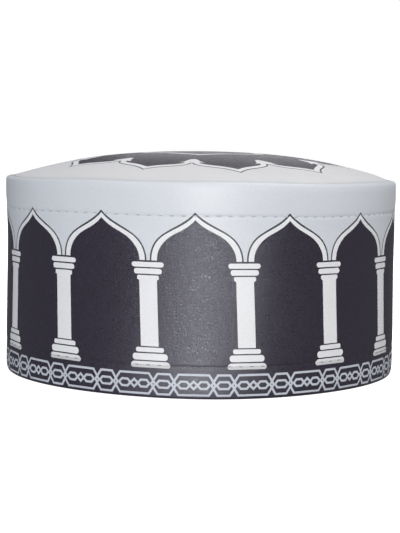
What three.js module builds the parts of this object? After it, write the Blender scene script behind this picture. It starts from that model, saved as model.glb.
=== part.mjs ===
// A soft prayer cap: a tall padded side band closed by a low domed oval crown.
// Millimetres, +Z up. The origin is on the ground under the middle of the oval, where the hem rests.
// +X runs along the long way of the head, -Y is the side that faces the viewer.

import * as THREE from 'three';

// The oval that both pieces follow, the plain outer face of the band:
// its width along X, along Y and halfway between them
const OVAL_LENGTH = 195.2;
const OVAL_BREADTH = 167.9;
const OVAL_DIAGONAL = 176.8;

// Heights above the ground
const SEAM_HEIGHT = 97;
const CROWN_RISE = 12.9;
const UPPER_STITCHES = 81.7;
const LOWER_STITCHES = 15;

// The cloth and its turned-in edges
const WALL = 2;
const TURNING = 1.1;
const CROWN_WALL = 2;
const LIP_WALL = 1.2;
const GAP = 0.35;

// Unevenness of the soft cloth
const SEAM_SADDLE = 0.5;
const SEAM_WAVE = 0.2;
const SEAM_WAVES = 7;
const WALL_SWELL = 0.25;
const WALL_SWELLS = 3;
const CROWN_LEAN = 0.9;

// The plain seam that closes the band at the back
const CLOSING_DEPTH = 0.6;
const CLOSING_HALF_WIDTH = 1.6;

// Straight facets around the oval
const FACETS = 84;

const HALF_BREADTH = OVAL_BREADTH / 2;
const BAND_TOP_FACE = -(WALL + TURNING) - 0.3;
const CROWN_EDGE = BAND_TOP_FACE - GAP;
const LIP_BOTTOM = UPPER_STITCHES - 1.2;

// The band's outer face from the resting ring up to the crown seam:
// `up` is the height, `out` how far the cloth stands out from the plain oval.
const OUTER_FACE = [
  { up: 0, out: -1.2 },
  { up: 0.35, out: -0.35 },
  { up: 1.3, out: 0.1 },
  { up: 3, out: 0.35 },
  { up: 6, out: 0.45 },
  { up: 10, out: 0.42 },
  { up: LOWER_STITCHES - 2, out: 0.25 },
  { up: LOWER_STITCHES - 0.7, out: -0.15 },
  { up: LOWER_STITCHES, out: -0.75 },
  { up: LOWER_STITCHES + 0.8, out: -0.15 },
  { up: LOWER_STITCHES + 2.5, out: 0.2 },
  { up: 25, out: 0.2 },
  { up: 34, out: 0.1 },
  { up: 43, out: 0 },
  { up: 52, out: -0.2 },
  { up: 62, out: -0.32 },
  { up: 71, out: -0.3 },
  { up: 77, out: -0.2 },
  { up: UPPER_STITCHES - 1.4, out: -0.15 },
  { up: UPPER_STITCHES, out: -0.5 },
  { up: UPPER_STITCHES + 1.4, out: 0 },
  { up: 86, out: 0.2 },
  { up: 90, out: 0.3 },
  { up: 93, out: 0.2 },
  { up: SEAM_HEIGHT - 1.8, out: -0.45 },
  { up: SEAM_HEIGHT - 0.4, out: -1.7 },
  { up: SEAM_HEIGHT, out: -2.7 },
  { up: SEAM_HEIGHT - 0.4, out: BAND_TOP_FACE + 0.2 },
  { up: SEAM_HEIGHT - 1.4, out: BAND_TOP_FACE },
];

// The band's inner face from the seam down to the resting ring:
// the doubled top, the single wall and the hem that is turned up inside.
const INNER_FACE = [
  { up: 90, out: BAND_TOP_FACE },
  { up: UPPER_STITCHES + 0.3, out: BAND_TOP_FACE },
  { up: UPPER_STITCHES - 1.5, out: -WALL - 0.15 },
  { up: 62, out: -WALL - 0.32 },
  { up: 43, out: -WALL },
  { up: LOWER_STITCHES + 2.6, out: -WALL + 0.2 },
  { up: LOWER_STITCHES + 1.4, out: -WALL - TURNING + 0.1 },
  { up: 6, out: -WALL - TURNING + 0.2 },
  { up: 0.7, out: -WALL - TURNING + 0.1 },
  { up: 0, out: -2.6 },
];

// Where the rings of the domed top lie, as shares of the way from its middle to its edge
const TOP_SHARES = [0.985, 0.95, 0.89, 0.8, 0.69, 0.56, 0.42, 0.27, 0.12];
const UNDERSIDE_SHARES = [0.2, 0.45, 0.68, 0.85, 0.94];

// A point of the oval and the direction that points straight out of it there.
// A turn of 0 faces -Y, and turns run anticlockwise as seen from above.
function ovalAt(turn) {
  const mean = (OVAL_LENGTH + OVAL_BREADTH + 2 * OVAL_DIAGONAL) / 8;
  const stretch = (OVAL_LENGTH - OVAL_BREADTH) / 4;
  const squareness = (OVAL_LENGTH + OVAL_BREADTH - 2 * OVAL_DIAGONAL) / 8;
  const reach = mean - stretch * Math.cos(2 * turn) + squareness * Math.cos(4 * turn);
  const growth = 2 * stretch * Math.sin(2 * turn) - 4 * squareness * Math.sin(4 * turn);
  const across = Math.sin(turn);
  const along = -Math.cos(turn);
  const outward = new THREE.Vector2(
    reach * across + growth * along,
    reach * along - growth * across,
  );
  return { point: new THREE.Vector2(reach * across, reach * along), outward: outward.normalize() };
}

// The turns of the facets' corners, with extra ones beside the closing seam at the back
function facetTurns() {
  const even = Array.from({ length: FACETS }, (_, k) => (2 * Math.PI * k) / FACETS);
  const besideSeam = [-1, -0.4, 0.4, 1].map(
    (side) => Math.PI + (side * CLOSING_HALF_WIDTH) / HALF_BREADTH,
  );
  return [...even, ...besideSeam].sort((a, b) => a - b);
}

// How far the crown seam stands above its mean height
function seamLift(turn) {
  return SEAM_SADDLE * Math.cos(2 * turn) + SEAM_WAVE * Math.sin(SEAM_WAVES * turn + 0.8);
}

// How far the side wall swells out at a turn and height
function wallSwell(turn, up) {
  const fade = Math.sin((Math.PI * Math.min(up, SEAM_HEIGHT)) / SEAM_HEIGHT) ** 2;
  return WALL_SWELL * fade * Math.sin(WALL_SWELLS * turn + 1);
}

// How deep the closing seam draws in the band's outer face
function closingDepth(turn) {
  const away = Math.abs((turn - Math.PI) * HALF_BREADTH) / CLOSING_HALF_WIDTH;
  return away < 1 ? CLOSING_DEPTH * Math.cos((away * Math.PI) / 2) ** 2 : 0;
}

// The height of the domed top at a share of the way from its middle to its edge
function domeHeight(share, turn) {
  const square = share ** 2;
  const fall = 0.65 * square + 0.775 * square ** 2 - 0.425 * square ** 3;
  const lean = CROWN_LEAN * (1 - square) * share * Math.sin(turn);
  return SEAM_HEIGHT + CROWN_RISE * (1 - fall) + lean + seamLift(turn) * square;
}

// The closing seam shows on the wall, and not on the resting ring or the rolled top edge
function onPlainWall(row) {
  return row.up > 0 && row.out > -CLOSING_DEPTH - 0.2;
}

// A ring of the band, one corner for each turn
function bandRing(row, drawnIn, turns) {
  return turns.map((turn) => {
    const { point, outward } = ovalAt(turn);
    const out = row.out + wallSwell(turn, row.up) - drawnIn * closingDepth(turn);
    const up = row.up + seamLift(turn) * (row.up / SEAM_HEIGHT) ** 2;
    return [point.x + out * outward.x, point.y + out * outward.y, up];
  });
}

// A ring of the crown's dome, lowered by a depth
function domeRing(share, depth, turns) {
  return turns.map((turn) => {
    const { point, outward } = ovalAt(turn);
    const x = share * (point.x + CROWN_EDGE * outward.x);
    const y = share * (point.y + CROWN_EDGE * outward.y);
    return [x, y, domeHeight(share, turn) - depth];
  });
}

// A ring of the crown's turned-down lip, `inset` from the crown's edge
function lipRing(up, inset, turns) {
  return turns.map((turn) => {
    const { point, outward } = ovalAt(turn);
    const out = CROWN_EDGE - inset + wallSwell(turn, up);
    const lift = seamLift(turn) * (up / SEAM_HEIGHT) ** 2;
    return [point.x + out * outward.x, point.y + out * outward.y, up + lift];
  });
}

// Two triangles for each facet between neighbouring rings
function joinRings(rings, closed) {
  const columns = rings[0].length;
  const faces = [];
  const steps = closed ? rings.length : rings.length - 1;
  for (let ring = 0; ring < steps; ring += 1) {
    const lower = ring * columns;
    const upper = ((ring + 1) % rings.length) * columns;
    for (let column = 0; column < columns; column += 1) {
      const next = (column + 1) % columns;
      faces.push(lower + column, lower + next, upper + next);
      faces.push(lower + column, upper + next, upper + column);
    }
  }
  return faces;
}

// A fan of triangles that closes a ring with a middle point
function closeRing(firstIndex, columns, middleIndex, facesUp) {
  const faces = [];
  for (let column = 0; column < columns; column += 1) {
    const here = firstIndex + column;
    const next = firstIndex + ((column + 1) % columns);
    faces.push(...(facesUp ? [here, next, middleIndex] : [next, here, middleIndex]));
  }
  return faces;
}

function solid(name, points, faces, material) {
  const geometry = new THREE.BufferGeometry();
  geometry.setAttribute('position', new THREE.Float32BufferAttribute(points.flat(), 3));
  geometry.setIndex(faces);
  geometry.computeVertexNormals();
  const mesh = new THREE.Mesh(geometry, material);
  mesh.name = name;
  return mesh;
}

// The side band: its outer and inner faces make one closed section, swept around the oval
function buildSideBand(turns) {
  const rings = [
    ...OUTER_FACE.map((row) => bandRing(row, onPlainWall(row) ? 1 : 0, turns)),
    ...INNER_FACE.map((row) => bandRing(row, 0, turns)),
  ];
  const printedCloth = new THREE.MeshStandardMaterial({ color: 0x4a4650, roughness: 0.75, metalness: 0 });
  return solid('side_band', rings.flat(), joinRings(rings, true), printedCloth);
}

// The crown: up the underside, around the turned-down lip and back over the domed top
function buildCrown(turns) {
  const rings = [
    ...UNDERSIDE_SHARES.map((share) => domeRing(share, CROWN_WALL, turns)),
    lipRing(SEAM_HEIGHT - 3, LIP_WALL, turns),
    lipRing(89, LIP_WALL, turns),
    lipRing(LIP_BOTTOM + 0.4, LIP_WALL, turns),
    lipRing(LIP_BOTTOM, LIP_WALL - 0.4, turns),
    lipRing(LIP_BOTTOM, 0.4, turns),
    lipRing(LIP_BOTTOM + 0.4, 0, turns),
    lipRing(89, 0, turns),
    lipRing(SEAM_HEIGHT - 1.5, 0, turns),
    lipRing(SEAM_HEIGHT - 0.5, 0.15, turns),
    ...TOP_SHARES.map((share) => domeRing(share, 0, turns)),
  ];
  const points = rings.flat();
  const columns = turns.length;
  const underMiddle = points.length;
  const topMiddle = underMiddle + 1;
  points.push([0, 0, SEAM_HEIGHT + CROWN_RISE - CROWN_WALL]);
  points.push([0, 0, SEAM_HEIGHT + CROWN_RISE]);
  const faces = [
    ...closeRing(0, columns, underMiddle, false),
    ...joinRings(rings, false),
    ...closeRing((rings.length - 1) * columns, columns, topMiddle, true),
  ];
  const paleCloth = new THREE.MeshStandardMaterial({ color: 0xd8d6d6, roughness: 0.75, metalness: 0 });
  return solid('crown', points, faces, paleCloth);
}

const turns = facetTurns();
const cap = new THREE.Group();
cap.add(buildSideBand(turns), buildCrown(turns));

export default cap;
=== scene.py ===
"""The looks of a soft prayer cap: a printed side band, a low domed crown and the stitches that hold them.

Sizes are millimetres until a mesh is made, and every mesh is in the frame's metres. The oval, the wall's
section and the dome follow the same rules as the frame's solids, so the cloth lies where the solids lie.
On the wall, `run` is the length along the oval from the middle of the front, growing towards +X, and `up`
is the height above the ground.
"""

import logging
import math
from collections.abc import Callable, Iterable, Sequence
from dataclasses import dataclass, field
from enum import Enum
from functools import cached_property

import bmesh
import bpy
import numpy as np
from mathutils import Matrix, Vector
from mathutils.geometry import delaunay_2d_cdt


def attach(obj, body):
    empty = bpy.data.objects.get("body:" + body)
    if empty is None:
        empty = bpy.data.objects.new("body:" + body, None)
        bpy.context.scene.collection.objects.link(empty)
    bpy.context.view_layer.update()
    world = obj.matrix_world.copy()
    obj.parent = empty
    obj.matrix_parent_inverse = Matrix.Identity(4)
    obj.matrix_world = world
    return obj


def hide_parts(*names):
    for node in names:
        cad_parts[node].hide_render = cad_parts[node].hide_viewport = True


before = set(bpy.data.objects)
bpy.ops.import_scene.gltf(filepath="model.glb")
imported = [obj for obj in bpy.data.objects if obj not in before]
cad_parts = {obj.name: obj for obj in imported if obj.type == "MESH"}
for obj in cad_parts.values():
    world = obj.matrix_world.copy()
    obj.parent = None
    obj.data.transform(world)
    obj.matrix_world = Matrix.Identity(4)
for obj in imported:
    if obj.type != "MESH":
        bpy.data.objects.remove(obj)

LOG = logging.getLogger("cap")
ROOT = "root"
MM = 0.001

# The photograph's size in pixels, and the camera's sensor
IMAGE_WIDTH = 400
IMAGE_HEIGHT = 533
SENSOR_MM = 36.0

# Less than this counts as nothing
TINY = 1e-9
# Points of a flat cut that are closer than this, in millimetres, are one
CUT_TOLERANCE = 1e-4
# In metres: points closer than the first are sewn together, and edges shorter than the second are taken out
SEWING_ROOM = 2e-6
SHORTEST_EDGE = 1e-7
# In a cubic metre
MILLILITRES = 1e6

# How many bands a wave texture draws in one unit at a scale of 1
WAVES_PER_UNIT = 3.183
# Nearly all of a noise texture's values lie between these
NOISE_LOW = 0.3
NOISE_HIGH = 0.7

Points = np.ndarray


class Ink(Enum):
    """The colours of the cloth, printed or plain."""

    CHARCOAL = "charcoal_print"
    WHITE = "white_print"
    PALE = "pale_print"
    CROWN = "crown_ground"
    OUTLINE = "outline_print"
    CHAIN = "chain_print"
    BACKING = "backing"


class Beam(Enum):
    """What a light acts on, soft shading and shine: both or one of them."""

    BOTH = (True, True)
    SHADING = (True, False)
    SHINE = (False, True)


# Flat drawing helpers


def rounded_slab(low: float, high: float, width: float, rounding: float, steps: int = 5) -> Points:
    """A level bar with rounded corners, centred on 0.

    Args:
        low: Height of its lower edge.
        high: Height of its upper edge.
        width: Its whole width.
        rounding: Radius of its corners.
        steps: Straight pieces in each corner.

    Returns:
        Its outline, anticlockwise.
    """
    corners = [
        (width / 2 - rounding, low + rounding, -90),
        (width / 2 - rounding, high - rounding, 0),
        (-width / 2 + rounding, high - rounding, 90),
        (-width / 2 + rounding, low + rounding, 180),
    ]
    outline = []
    for x, z, start in corners:
        angles = np.radians(np.linspace(start, start + 90, steps + 1))
        outline.append(np.column_stack([x + rounding * np.cos(angles), z + rounding * np.sin(angles)]))
    return np.concatenate(outline)


def mirrored(right_half: Points) -> Points:
    """A closed outline from its right half, given from the bottom up, mirrored about 0."""
    left_half = right_half[::-1] * (-1, 1)
    return np.concatenate([right_half, left_half[int(right_half[-1, 0] == 0) :]])


def grown(polygon: Points, amount: float) -> Points:
    """Moves every side of a convex polygon outwards.

    Args:
        polygon: Its corners, anticlockwise.
        amount: How far out, or in if it is below 0.

    Returns:
        The new corners.
    """
    sides = np.roll(polygon, -1, axis=0) - polygon
    outward = np.column_stack([sides[:, 1], -sides[:, 0]]) / np.hypot(*sides.T)[:, None]
    before = np.roll(outward, 1, axis=0)
    mitre = (outward + before) / (1 + (outward * before).sum(axis=1))[:, None]
    return polygon + amount * mitre


def cubic(start: Points, leaving: Points, arriving: Points, end: Points, steps: int) -> Points:
    """A cubic Bezier curve.

    Args:
        start: Where it starts.
        leaving: The point that it leaves towards.
        arriving: The point that it arrives from.
        end: Where it ends.
        steps: Straight pieces in it.

    Returns:
        Its points, both ends included.
    """
    share = np.linspace(0, 1, steps + 1)[:, None]
    rest = 1 - share
    return (
        rest**3 * start + 3 * share * rest**2 * leaving + 3 * share**2 * rest * arriving + share**3 * end
    )


def smooth_loop(knots: Points, step: float) -> Points:
    """A smooth closed curve through knots.

    Args:
        knots: The points that it passes through, in order.
        step: The most between its points.

    Returns:
        Its points, the first knot first.
    """
    made = []
    for index in range(len(knots)):
        before, start, end, after = (knots[(index + k) % len(knots)] for k in (-1, 0, 1, 2))
        # The root of each distance keeps the curve from looping between close knots
        pairs = ((before, start), (start, end), (end, after))
        gaps = [math.sqrt(max(math.dist(one, other), TINY)) for one, other in pairs]
        back, here, on = gaps
        leaving = (start - before) / back - (end - before) / (back + here) + (end - start) / here
        arriving = (end - start) / here - (after - start) / (here + on) + (after - end) / on
        steps = max(2, math.ceil(math.dist(start, end) / step))
        third = here / 3
        made.append(cubic(start, start + third * leaving, end - third * arriving, end, steps)[:-1])
    return np.concatenate(made)


def path_lengths(path: Points) -> Points:
    """The length along a path at each of its points."""
    return np.concatenate([[0], np.cumsum(np.linalg.norm(np.diff(path, axis=0), axis=1))])


def thinned(path: Points, longest: float, most_turn: float) -> list[int]:
    """Which points of a dense path are enough to draw it.

    Args:
        path: The path's points.
        longest: The most between points that are kept.
        most_turn: The most degrees that the path may turn between points that are kept.

    Returns:
        The indices of the points to keep, both ends among them.
    """
    headings = np.unwrap(np.arctan2(*np.diff(path, axis=0).T[::-1]))
    along = path_lengths(path)
    kept = [0]
    for index in range(1, len(path) - 1):
        turned = abs(headings[index] - headings[kept[-1]])
        if along[index + 1] - along[kept[-1]] > longest or turned > math.radians(most_turn):
            kept.append(index)
    return [*kept, len(path) - 1]


@dataclass(frozen=True)
class Shape:
    """A printed shape on the flat cloth, with the hole in it where it is a line round something."""

    ink: Ink
    edge: Points
    hole: Points | None = None


@dataclass(frozen=True)
class CutCloth:
    """Flat cloth cut into triangles along the edges of its print."""

    points: Points
    faces: Points
    inks: list[Ink]


def clear_of(points: Points, edges: Sequence[Points], room: float, batch: int = 150) -> Points:
    """Leaves out the points that lie close to closed outlines.

    Args:
        points: The points.
        edges: The outlines.
        room: How close a point may come.
        batch: About how many points are measured at a time, to save memory.

    Returns:
        The points that are left.
    """
    starts = np.concatenate(edges)
    sides = np.concatenate([np.roll(edge, -1, axis=0) - edge for edge in edges])
    lengths = np.maximum((sides**2).sum(axis=1), TINY)
    kept = []
    for some in np.array_split(points, max(1, len(points) // batch)):
        offsets = some[:, None, :] - starts
        share = np.clip((offsets * sides).sum(axis=2) / lengths, 0, 1)
        nearest = np.hypot(*(offsets - share[..., None] * sides).transpose(2, 0, 1)).min(axis=1)
        kept.append(some[nearest > room])
    return np.concatenate(kept)


def cut_cloth(
    fill: Points,
    lines: Sequence[Points],
    shapes: Sequence[Shape],
    ground: Callable[[Points], Iterable[Ink]],
    inside: Callable[[Points], Points],
    room: float = 0.22,
) -> CutCloth:
    """Cuts flat cloth into triangles that follow the print's edges.

    Args:
        fill: Points spread over the cloth between the shapes.
        lines: Open lines that the triangles also keep to, such as the cloth's own edges.
        shapes: What is printed, each over the ones before it.
        ground: Gives the unprinted cloth's ink at each of some points.
        inside: Tells which of some points lie on the cloth.
        room: How close to a shape's edge a fill point may come.

    Returns:
        The cut cloth.
    """
    outlines = [edge for shape in shapes for edge in (shape.edge, shape.hole) if edge is not None]
    corners, edges, loops = [], [], []
    for line in lines:
        first = sum(map(len, corners))
        corners.append(line)
        edges += [(first + k, first + k + 1) for k in range(len(line) - 1)]
    for outline in outlines:
        first = sum(map(len, corners))
        corners.append(outline)
        loops.append(list(range(first, first + len(outline))))
    corners.append(clear_of(fill, outlines, room))
    given = [Vector((float(x), float(y))) for x, y in np.concatenate(corners)]
    # 0 keeps every triangle, and True asks which outlines each one lies in
    made, _, triangles, _, _, sources = delaunay_2d_cdt(given, edges, loops, 0, CUT_TOLERANCE, True)
    points = np.array([tuple(point) for point in made])
    faces = np.array(triangles)
    middles = points[faces].mean(axis=1)
    kept = np.flatnonzero(inside(middles))
    inks = list(ground(middles[kept]))
    # For each outline, its shape's place in the order of printing and whether it is that shape's hole
    order = []
    for rank, shape in enumerate(shapes):
        order.append((rank, False))
        if shape.hole is not None:
            order.append((rank, True))
    for place, index in enumerate(kept):
        covered = {}
        for loop in sources[index]:
            rank, is_hole = order[loop]
            covered[rank] = covered.get(rank, True) and not is_hole
        on_top = max((rank for rank, shown in covered.items() if shown), default=None)
        if on_top is not None:
            inks[place] = shapes[on_top].ink
    used, renumbered = np.unique(faces[kept], return_inverse=True)
    return CutCloth(points[used], renumbered.reshape(-1, 3), inks)


# The form


@dataclass(frozen=True)
class CapForm:
    """The cap's soft form: the oval that it follows, how its wall leans and swells, and its dome."""

    oval_length: float = 195.2
    oval_breadth: float = 167.9
    oval_diagonal: float = 176.8
    seam_height: float = 97.0
    crown_rise: float = 12.35
    crown_edge: float = -3.75
    seam_saddle: float = 0.5
    seam_wave: float = 0.2
    seam_waves: int = 7
    seam_phase: float = 0.8
    wall_swell: float = 0.25
    wall_swells: int = 3
    swell_phase: float = 1.0
    crown_lean: float = 0.6
    side_tilt: float = 0.5
    right_shoulder: float = 8.5
    closing_depth: float = 0.6
    closing_half_width: float = 1.6
    # The closing seam fades in over its foot and fades out again, to end a little below the crown seam
    closing_foot: float = 2.5
    closing_fade: float = 4.0
    closing_end: float = 1.5
    # How the dome falls towards its edge: the parts that follow the share's square, fourth and sixth power
    dome_fall: tuple[float, float, float] = (0.55, 0.825, -0.375)
    turn_samples: int = 7201
    rim_samples: int = 2881
    # How far the soft cloth has settled outwards at a height, on the left side and on the right
    settled: tuple[tuple[float, float, float], ...] = (
        (0, -0.7, 0),
        (27, -0.65, 0),
        (45, -0.5, 0),
        (60, -0.35, 0),
        (70, -0.25, -0.05),
        (78, 0, -0.35),
        (87, 0.1, -0.7),
        (92, 0.1, -0.9),
        (97, 0.3, -0.9),
    )

    def oval(self, turn: Points) -> tuple[Points, Points]:
        """The oval at some turns.

        Args:
            turn: Turns in radians, from 0 at -Y and growing towards +X.

        Returns:
            The oval's points, and the directions that point straight out of it there.
        """
        mean = (self.oval_length + self.oval_breadth + 2 * self.oval_diagonal) / 8
        stretch = (self.oval_length - self.oval_breadth) / 4
        squareness = (self.oval_length + self.oval_breadth - 2 * self.oval_diagonal) / 8
        reach = mean - stretch * np.cos(2 * turn) + squareness * np.cos(4 * turn)
        growth = 2 * stretch * np.sin(2 * turn) - 4 * squareness * np.sin(4 * turn)
        across, along = np.sin(turn), -np.cos(turn)
        outward = np.stack([reach * across + growth * along, reach * along - growth * across], axis=-1)
        outward /= np.linalg.norm(outward, axis=-1, keepdims=True)
        return np.stack([reach * across, reach * along], axis=-1), outward

    @cached_property
    def _measured(self) -> tuple[Points, Points]:
        """The oval measured all the way round.

        Returns:
            Turns once round from the middle of the back, and the run at each.
        """
        turns = np.linspace(-math.pi, math.pi, self.turn_samples)
        runs = path_lengths(self.oval(turns)[0])
        return turns, runs - runs[-1] / 2

    @property
    def girth(self) -> float:
        """The length once round the oval."""
        return 2 * self._measured[1][-1]

    def turn_at(self, run: Points) -> Points:
        """The turn at a run, past the middle of the back as well."""
        rounds, (turns, runs) = np.round(run / self.girth), self._measured
        return np.interp(run - rounds * self.girth, runs, turns) + 2 * math.pi * rounds

    def lift(self, turn: Points) -> Points:
        """How far the crown seam stands above its mean height."""
        wave = self.seam_wave * np.sin(self.seam_waves * turn + self.seam_phase)
        return self.seam_saddle * np.cos(2 * turn) + wave + self.side_tilt * np.sin(turn) ** 5

    def settle(self, turn: Points, up: Points | float) -> Points:
        """How far the soft cloth has settled outwards at its sides.

        Args:
            turn: Turns on the oval.
            up: Heights above the ground.

        Returns:
            Millimetres outwards, below 0 where the cloth has sunk in.
        """
        heights, left, right = np.array(self.settled, float).T
        side = np.sin(turn)
        return np.where(side < 0, np.interp(up, heights, left), np.interp(up, heights, right)) * side**4

    def swell(self, turn: Points, up: Points) -> Points:
        """How far the wall swells out."""
        fade = np.sin(math.pi * np.minimum(up, self.seam_height) / self.seam_height) ** 2
        return self.wall_swell * fade * np.sin(self.wall_swells * turn + self.swell_phase)

    def closing(self, run: Points, up: Points) -> Points:
        """How deep the seam that closes the band at the back draws in its outer face.

        Args:
            run: Runs on the band.
            up: Heights above the ground.

        Returns:
            Millimetres inwards.
        """
        away = (self.girth / 2 - np.abs(run)) / self.closing_half_width
        depth = np.where(np.abs(away) < 1, self.closing_depth * np.cos(away * math.pi / 2) ** 2, 0)
        foot = np.clip(up / self.closing_foot, 0, 1)
        top = np.clip((self.seam_height - self.closing_end - up) / self.closing_fade, 0, 1)
        return depth * foot * top

    def on_wall(self, run: Points, up: Points, out: Points) -> Points:
        """Points on the wall or beside it.

        Args:
            run: Runs on the band.
            up: Heights on the band before the seam's waves lift it.
            out: How far out they stand from the plain oval.

        Returns:
            The points.
        """
        turn = self.turn_at(run)
        point, outward = self.oval(turn)
        out = out + self.swell(turn, up) + self.settle(turn, up)
        height = up + self.lift(turn) * (up / self.seam_height) ** 2
        return np.concatenate([point + out[..., None] * outward, height[..., None]], axis=-1)

    def rim(self, turn: Points) -> Points:
        """The crown's edge at some turns, seen from above."""
        point, outward = self.oval(turn)
        return point + (self.crown_edge + self.settle(turn, self.seam_height))[..., None] * outward

    @cached_property
    def _rim(self) -> tuple[Points, Points, Points]:
        """The crown's edge measured all the way round, seen from above.

        Returns:
            The bearing, the reach and the turn at points round it.
        """
        turns = np.linspace(-math.pi, math.pi, self.rim_samples)
        edge = self.rim(turns)
        return np.unwrap(np.arctan2(edge[:, 0], -edge[:, 1])), np.hypot(*edge.T), turns

    def share_of(self, plan: Points) -> tuple[Points, Points]:
        """How far out on the crown some points lie.

        Args:
            plan: The points, seen from above.

        Returns:
            The share of the way from the crown's middle to its edge at each point, and its turn.
        """
        bearings, reaches, turns = self._rim
        bearing = np.arctan2(plan[..., 0], -plan[..., 1])
        return (
            np.hypot(plan[..., 0], plan[..., 1]) / np.interp(bearing, bearings, reaches),
            np.interp(bearing, bearings, turns),
        )

    def rim_plan(self, share: float, run: Points) -> Points:
        """Points of the ring at a share of the way from the crown's middle to its edge, from above."""
        return share * self.rim(self.turn_at(run))

    def dome_height(self, plan: Points) -> Points:
        """The height of the crown's top.

        Args:
            plan: Points seen from above.

        Returns:
            The height above the ground over each.
        """
        share, turn = self.share_of(plan)
        square = share**2
        early, midway, late = self.dome_fall
        fall = early * square + midway * square**2 + late * square**3
        side = np.sin(turn)
        lean = self.crown_lean * (1 - square) * share * side
        shoulder = self.right_shoulder * square**5 * (1 - square) * np.maximum(side, 0) ** 4
        return self.seam_height + self.crown_rise * (1 - fall) + lean + shoulder + self.lift(turn) * square


# The print


@dataclass(frozen=True)
class ArchLine:
    """One edge of an ogee arch: a round shoulder that turns back into a pointed top."""

    shoulder: float
    apex: float
    leaving: float
    arriving: float
    spring: float = 61.75
    shoulder_x: float = 6.984
    shoulder_z: float = 62.011
    shoulder_degrees: float = 32.0
    apex_slope: float = 1.1
    shoulder_steps: int = 8
    top_steps: int = 18

    def outline(self) -> Points:
        """The closed outline about the arch's middle.

        Returns:
            Its points, from one springing over the apex to the other.
        """
        angles = np.radians(np.linspace(0, self.shoulder_degrees, self.shoulder_steps + 1))
        shoulder = np.column_stack(
            [
                self.shoulder_x + self.shoulder * np.cos(angles),
                self.shoulder_z + self.shoulder * np.sin(angles),
            ]
        )
        onward = np.array([-math.sin(angles[-1]), math.cos(angles[-1])])
        to_apex = np.array([-1, self.apex_slope]) / math.hypot(1, self.apex_slope)
        tip = np.array([0, self.apex])
        top = cubic(
            shoulder[-1],
            shoulder[-1] + self.leaving * onward,
            tip - self.arriving * to_apex,
            tip,
            self.top_steps,
        )
        foot = [(shoulder[0, 0], self.spring)]
        return mirrored(np.concatenate([foot, shoulder, top[1:]]))


@dataclass(frozen=True)
class Slab:
    """A level bar of a column."""

    low: float
    high: float
    width: float
    rounding: float


@dataclass(frozen=True)
class Arcade:
    """The row of ogee arches on stepped columns round the side band."""

    bays: int = 13
    column_run: float = 11.35
    arch_run: float = 11.7
    lean: float = -0.05
    lean_from: float = 15.0
    outline_width: float = 0.75
    middle_line: ArchLine = ArchLine(shoulder=13.662, apex=82.75, leaving=7.154, arriving=8.653)
    field_line: ArchLine = ArchLine(shoulder=10.752, apex=79.95, leaving=8.285, arriving=8.364)
    slabs: tuple[Slab, ...] = (
        Slab(58.7, 60.95, 14.8, 1.1),
        Slab(55.65, 58.1, 12.9, 1.1),
        Slab(20.75, 22.85, 12.8, 0.8),
        Slab(17.1, 20.15, 16.1, 1.35),
    )
    shaft_width: float = 8.15
    shaft_foot: float = 23.4
    # Where the shaft starts to flare, how far it still runs straight on, and how it meets the capital
    neck: float = 52.5
    neck_straight: float = 0.6
    neck_flare: tuple[float, float] = (0.1, 0.4)
    neck_steps: int = 4
    capital_low: float = 53.5
    capital_high: float = 55.05
    capital_width: float = 10.1
    capital_bevel: float = 0.4
    plinth: Slab = Slab(13.7, 16.5, 18.1, 1.1)
    plinth_top_width: float = 16.8

    def edge(self, outwards: float) -> Points:
        """An edge of the arch's dark outline.

        Args:
            outwards: How far it is out from the outline's middle line.

        Returns:
            The edge, about the arch's middle.
        """
        rise = outwards * math.hypot(1, self.middle_line.apex_slope)
        line = self.middle_line
        return ArchLine(line.shoulder + outwards, line.apex + rise, line.leaving, line.arriving).outline()

    def column(self) -> list[Points]:
        """The white shapes of a column.

        Returns:
            Their outlines about the column's middle: its bars, its shaft and its plinth.
        """
        half, wide = self.shaft_width / 2, self.capital_width / 2
        neck = cubic(
            np.array([half, self.neck]),
            np.array([half, self.neck + self.neck_straight]),
            np.array([wide, self.capital_low]) - self.neck_flare,
            np.array([wide, self.capital_low]),
            self.neck_steps,
        )
        bevel = self.capital_bevel
        head = [(wide, self.capital_high - bevel), (wide - bevel, self.capital_high)]
        shaft = mirrored(np.concatenate([[(half, self.shaft_foot)], neck, head]))
        plinth = rounded_slab(self.plinth.low, self.plinth.high, self.plinth.width, self.plinth.rounding)
        rise = (plinth[:, 1] - self.plinth.low) / (self.plinth.high - self.plinth.low)
        taper = 1 + (self.plinth_top_width / self.plinth.width - 1) * np.clip(2 * rise - 1, 0, 1)
        plinth[:, 0] *= taper
        bars = [rounded_slab(slab.low, slab.high, slab.width, slab.rounding) for slab in self.slabs]
        return [*bars, shaft, plinth]

    def shapes(self, form: CapForm) -> list[Shape]:
        """Everything that the arcade prints on the flat band.

        Args:
            form: The form that gives the band's girth.

        Returns:
            The shapes in the order of printing. They reach past the closing seam, where the cut drops them.
        """
        pitch = form.girth / self.bays
        half_line = self.outline_width / 2
        bay = [
            Shape(Ink.OUTLINE, self.edge(half_line)),
            Shape(Ink.WHITE, self.edge(-half_line)),
            Shape(Ink.CHARCOAL, self.field_line.outline()),
        ]
        column = [Shape(Ink.WHITE, edge) for edge in self.column()]
        first = math.floor((-form.girth / 2 - self.column_run) / pitch) - 1
        placed = []
        for index in range(first, first + self.bays + 4):
            placed += [self.moved(shape, self.column_run + index * pitch) for shape in column]
            placed += [self.moved(shape, self.arch_run + (index + 0.5) * pitch) for shape in bay]
        return placed

    def moved(self, shape: Shape, run: float) -> Shape:
        """Moves a shape along the band, leaning with the cloth.

        Args:
            shape: The shape about its own middle.
            run: Where its middle goes.

        Returns:
            The moved shape.
        """
        edge = shape.edge.copy()
        edge[:, 0] += run + self.lean * (edge[:, 1] - self.lean_from)
        return Shape(shape.ink, edge)


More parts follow.
